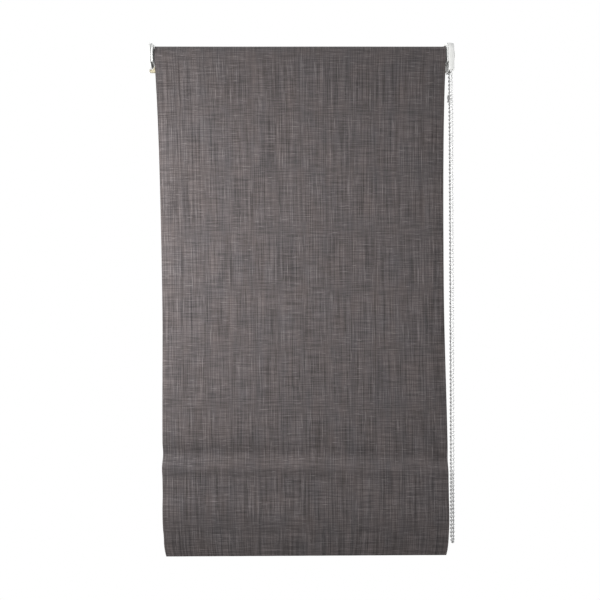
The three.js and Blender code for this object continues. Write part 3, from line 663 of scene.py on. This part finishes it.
def path_frames(path):
    """At each point of the path, its direction and two directions square to it."""
    ahead = np.gradient(path, axis=0)
    ahead /= np.linalg.norm(ahead, axis=1, keepdims=True)
    side = np.broadcast_to(np.array((1.0, 0, 0)), path.shape)
    side = side - ahead * np.sum(side * ahead, axis=1, keepdims=True)
    side /= np.linalg.norm(side, axis=1, keepdims=True)
    return ahead, side, np.cross(ahead, side)


def bead_chain_mesh(path, length):
    """Round beads threaded on a thin string. Each bead is a profile of rings about the path,
    slightly drawn out into the string at both holes."""
    count = int(round(length / BEAD_PITCH))
    sides, rings = 10, 7
    along = np.linspace(0, length, len(path))
    spots = (np.arange(count) + 0.5) * length / count
    centres = np.stack([np.interp(spots, along, path[:, i]) for i in range(3)], axis=-1)
    ahead, side, up = (
        np.stack([np.interp(spots, along, part[:, i]) for i in range(3)], axis=-1)
        for part in path_frames(path)
    )
    lean = np.linspace(0, math.pi, rings)
    reach = -BEAD_RADIUS * np.cos(lean)
    radius = np.maximum(BEAD_RADIUS * np.sin(lean), STRING_RADIUS * 0.9)
    angle = np.linspace(0, 2 * math.pi, sides, endpoint=False)

    ring = np.cos(angle)[None, None, :, None] * side[:, None, None, :]
    ring = ring + np.sin(angle)[None, None, :, None] * up[:, None, None, :]
    beads = centres[:, None, None, :] + reach[None, :, None, None] * ahead[:, None, None, :]
    beads = beads + radius[None, :, None, None] * ring
    index = np.arange(count * rings * sides).reshape(count, rings, sides)
    around = np.roll(index, -1, axis=2)
    skin = [index[:, :-1], around[:, :-1], around[:, 1:], index[:, 1:]]
    faces = np.stack(skin, axis=-1).reshape(-1, 4).tolist()
    faces += index[:, 0, ::-1].tolist() + index[:, -1, :].tolist()

    string_sides = 6
    start = beads.size // 3
    ahead, side, up = path_frames(path)
    turn = np.linspace(0, 2 * math.pi, string_sides, endpoint=False)
    string = path[:, None, :] + STRING_RADIUS * (
        np.cos(turn)[None, :, None] * side[:, None, :] + np.sin(turn)[None, :, None] * up[:, None, :]
    )
    index = np.arange(len(path) * string_sides).reshape(len(path), string_sides) + start
    around = np.roll(index, -1, axis=1)
    skin = [index[:-1], around[:-1], around[1:], index[1:]]
    faces += np.stack(skin, axis=-1).reshape(-1, 4).tolist()
    faces += [index[0, ::-1].tolist(), index[-1].tolist()]

    mesh = bpy.data.meshes.new("bead_chain_beads")
    mesh.from_pydata(np.vstack([beads.reshape(-1, 3), string.reshape(-1, 3)]).tolist(), [], faces)
    mesh.shade_smooth()
    return mesh


def make_chain(plastic):
    rows = [*CHAIN_FRONT, *CHAIN_FOOT, *CHAIN_BACK]
    route = [(x * MM, AXIS_Y - front * MM, z * MM) for x, front, z in rows]
    path, length = smooth_route(route, 520)
    chain = new_piece(
        "bead_chain_beads", bead_chain_mesh(path, length), plastic, "wall_fixed"
    )
    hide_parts("bead_chain")


# ---- Brackets, guard and cap ----


def domed_cap(plastic):
    """The idle end's cap: a shallow dome turned about the roller's axis, with a rounded rim and
    a fine step inside the rim. Its wall is turned in."""
    low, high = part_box("bracket_cap")
    rim_x, face_x, radius = high.x, low.x, (high.z - low.z) / 2
    steps = 72
    outside = [
        (rim_x, radius - 0.0012),
        (rim_x, radius - 0.0002),
        (rim_x - 0.0003, radius),
        (rim_x - 0.0030, radius),
        (rim_x - 0.0050, radius - 0.0001),
        (rim_x - 0.0063, radius - 0.0009),
        (rim_x - 0.0071, radius - 0.0026),
        (rim_x - 0.0073, radius - 0.0034),
        (rim_x - 0.0070, radius - 0.0038),
        (rim_x - 0.0073, radius - 0.0043),
    ]
    dome_edge = radius - 0.0043
    for share in np.linspace(0.12, 1, 9):
        reach = dome_edge * (1 - share)
        x = rim_x - 0.0073 + (face_x - rim_x + 0.0073) * (1 - (1 - share) ** 2)
        outside.append((x, max(reach, 0.0002)))
    inner_wall = 0.0012
    inside = [(x + inner_wall, max(r - inner_wall, 0.0002)) for x, r in outside[4:]]
    profile = np.array(outside + inside[::-1])
    angle = np.linspace(0, 2 * math.pi, steps, endpoint=False)[None, :]
    x = np.broadcast_to(profile[:, :1], (len(profile), steps))
    y = AXIS_Y + profile[:, 1:] * np.cos(angle)
    z = profile[:, 1:] * np.sin(angle)
    points = np.stack([x, y, z], axis=-1)
    loop = np.concatenate([points, points[:1]], axis=0)
    mesh = grid_mesh("bracket_cap_shell", loop, around=True)
    tidy = bmesh.new()
    tidy.from_mesh(mesh)
    bmesh.ops.remove_doubles(tidy, verts=tidy.verts, dist=1e-6)
    bmesh.ops.recalc_face_normals(tidy, faces=tidy.faces)
    tidy.to_mesh(mesh)
    tidy.free()
    mesh.shade_smooth()
    cap = new_piece("bracket_cap_shell", mesh, plastic, "wall_fixed")
    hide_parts("bracket_cap")


def rounded(node, name, width, material, body):
    """A node's own shape with its edges eased: its loose triangles are joined, flat faces made
    whole, and each edge sharper than thirty degrees is rounded."""
    mesh = NODES[node].data.copy()
    mesh.name = name
    shell = bmesh.new()
    shell.from_mesh(mesh)
    bmesh.ops.remove_doubles(shell, verts=shell.verts, dist=2e-6)
    bmesh.ops.dissolve_limit(
        shell, angle_limit=math.radians(0.5), verts=shell.verts, edges=shell.edges
    )
    shell.to_mesh(mesh)
    shell.free()
    mesh.materials.clear()
    mesh.shade_smooth()
    piece = new_piece(name, mesh, material, body)
    ease = piece.modifiers.new("eased_edges", "BEVEL")
    ease.width = width
    ease.segments = 2
    ease.limit_method = "ANGLE"
    ease.angle_limit = math.radians(30)
    ease.harden_normals = True
    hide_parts(node)
    return piece


def make_hardware(white, grey, dark, zinc, steel, clear, aluminium, tape):
    rounded("chain_guard", "chain_guard_shell", 0.0004, white, "wall_fixed")
    rounded("guard_cover", "guard_cover_plate", 0.0002, white, "wall_fixed")
    rounded("bracket_left", "bracket_left_arm", 0.0004, white, "wall_fixed")
    rounded("bracket_right", "bracket_right_arm", 0.0003, white, "wall_fixed")
    for side in ("left", "right"):
        plate = f"mounting_plate_{side}"
        rounded(plate, f"{plate}_zinc", 0.0002, zinc, "wall_fixed")
    domed_cap(white)
    finishes = {
        "clutch_axle": white,
        "bearing_bush": grey,
        "idle_plug": grey,
        "plug_cap": grey,
        "drive_drum": grey,
        "bar_end_left": dark,
        "bar_end_right": dark,
        "drive_sprocket": white,
        "chain_connector": clear,
        "roller_tube": aluminium,
        "bottom_bar": aluminium,
        "adhesive_strip": tape,
    }
    steels = ("wrap_spring", "pin_spring", "retaining_clip", "idle_pin")
    finishes.update({node: steel for node in steels})
    screws = [f"screw_{side}_{level}" for side in ("left", "right") for level in ("lower", "upper")]
    finishes.update({node: steel for node in screws})
    for node, material in finishes.items():
        mesh = NODES[node].data
        mesh.materials.clear()
        mesh.materials.append(material)


def make_floor(board):
    """A round board on the studio floor, well below the blind."""
    radius, steps = 0.62, 96
    angle = np.linspace(0, 2 * math.pi, steps, endpoint=False)
    rings = [(0.0005, 0.0), (radius - 0.01, 0.0), (radius, -0.003), (radius, -0.012)]
    shape = [
        (r * np.cos(angle), AXIS_Y + r * np.sin(angle), np.full(steps, FLOOR_Z + dz))
        for r, dz in rings
    ]
    points = np.stack([np.stack(row, axis=-1) for row in shape])
    mesh = grid_mesh("floor_board", points, around=True, flip=False, closed_ends=True)
    mesh.materials.append(board)
    floor = bpy.data.objects.new("floor_board", mesh)
    bpy.context.scene.collection.objects.link(floor)


camera_and_light()
white_plastic = moulded_plastic("white_moulding", tone(246, 246, 244), tone(240, 240, 237))
grey_plastic = moulded_plastic("grey_moulding", tone(186, 187, 185), tone(174, 175, 174), 0.45, True)
dark_plastic = moulded_plastic("dark_moulding", tone(58, 59, 61), tone(50, 51, 54), 0.5, True)
bead_plastic = chain_plastic()
extrusion = drawn_metal("drawn_aluminium", tone(200, 202, 204), tone(184, 186, 189), 0.34)
spring_wire = drawn_metal("spring_steel", tone(150, 152, 155), tone(120, 120, 122), 0.32, (900,) * 3)

make_chain(bead_plastic)
make_cloth(woven_cloth(), sewing_thread())
make_hardware(
    white_plastic,
    grey_plastic,
    dark_plastic,
    zinc_plate(),
    spring_wire,
    bead_plastic,
    extrusion,
    backing_tape(),
)
make_floor(pale_floor())
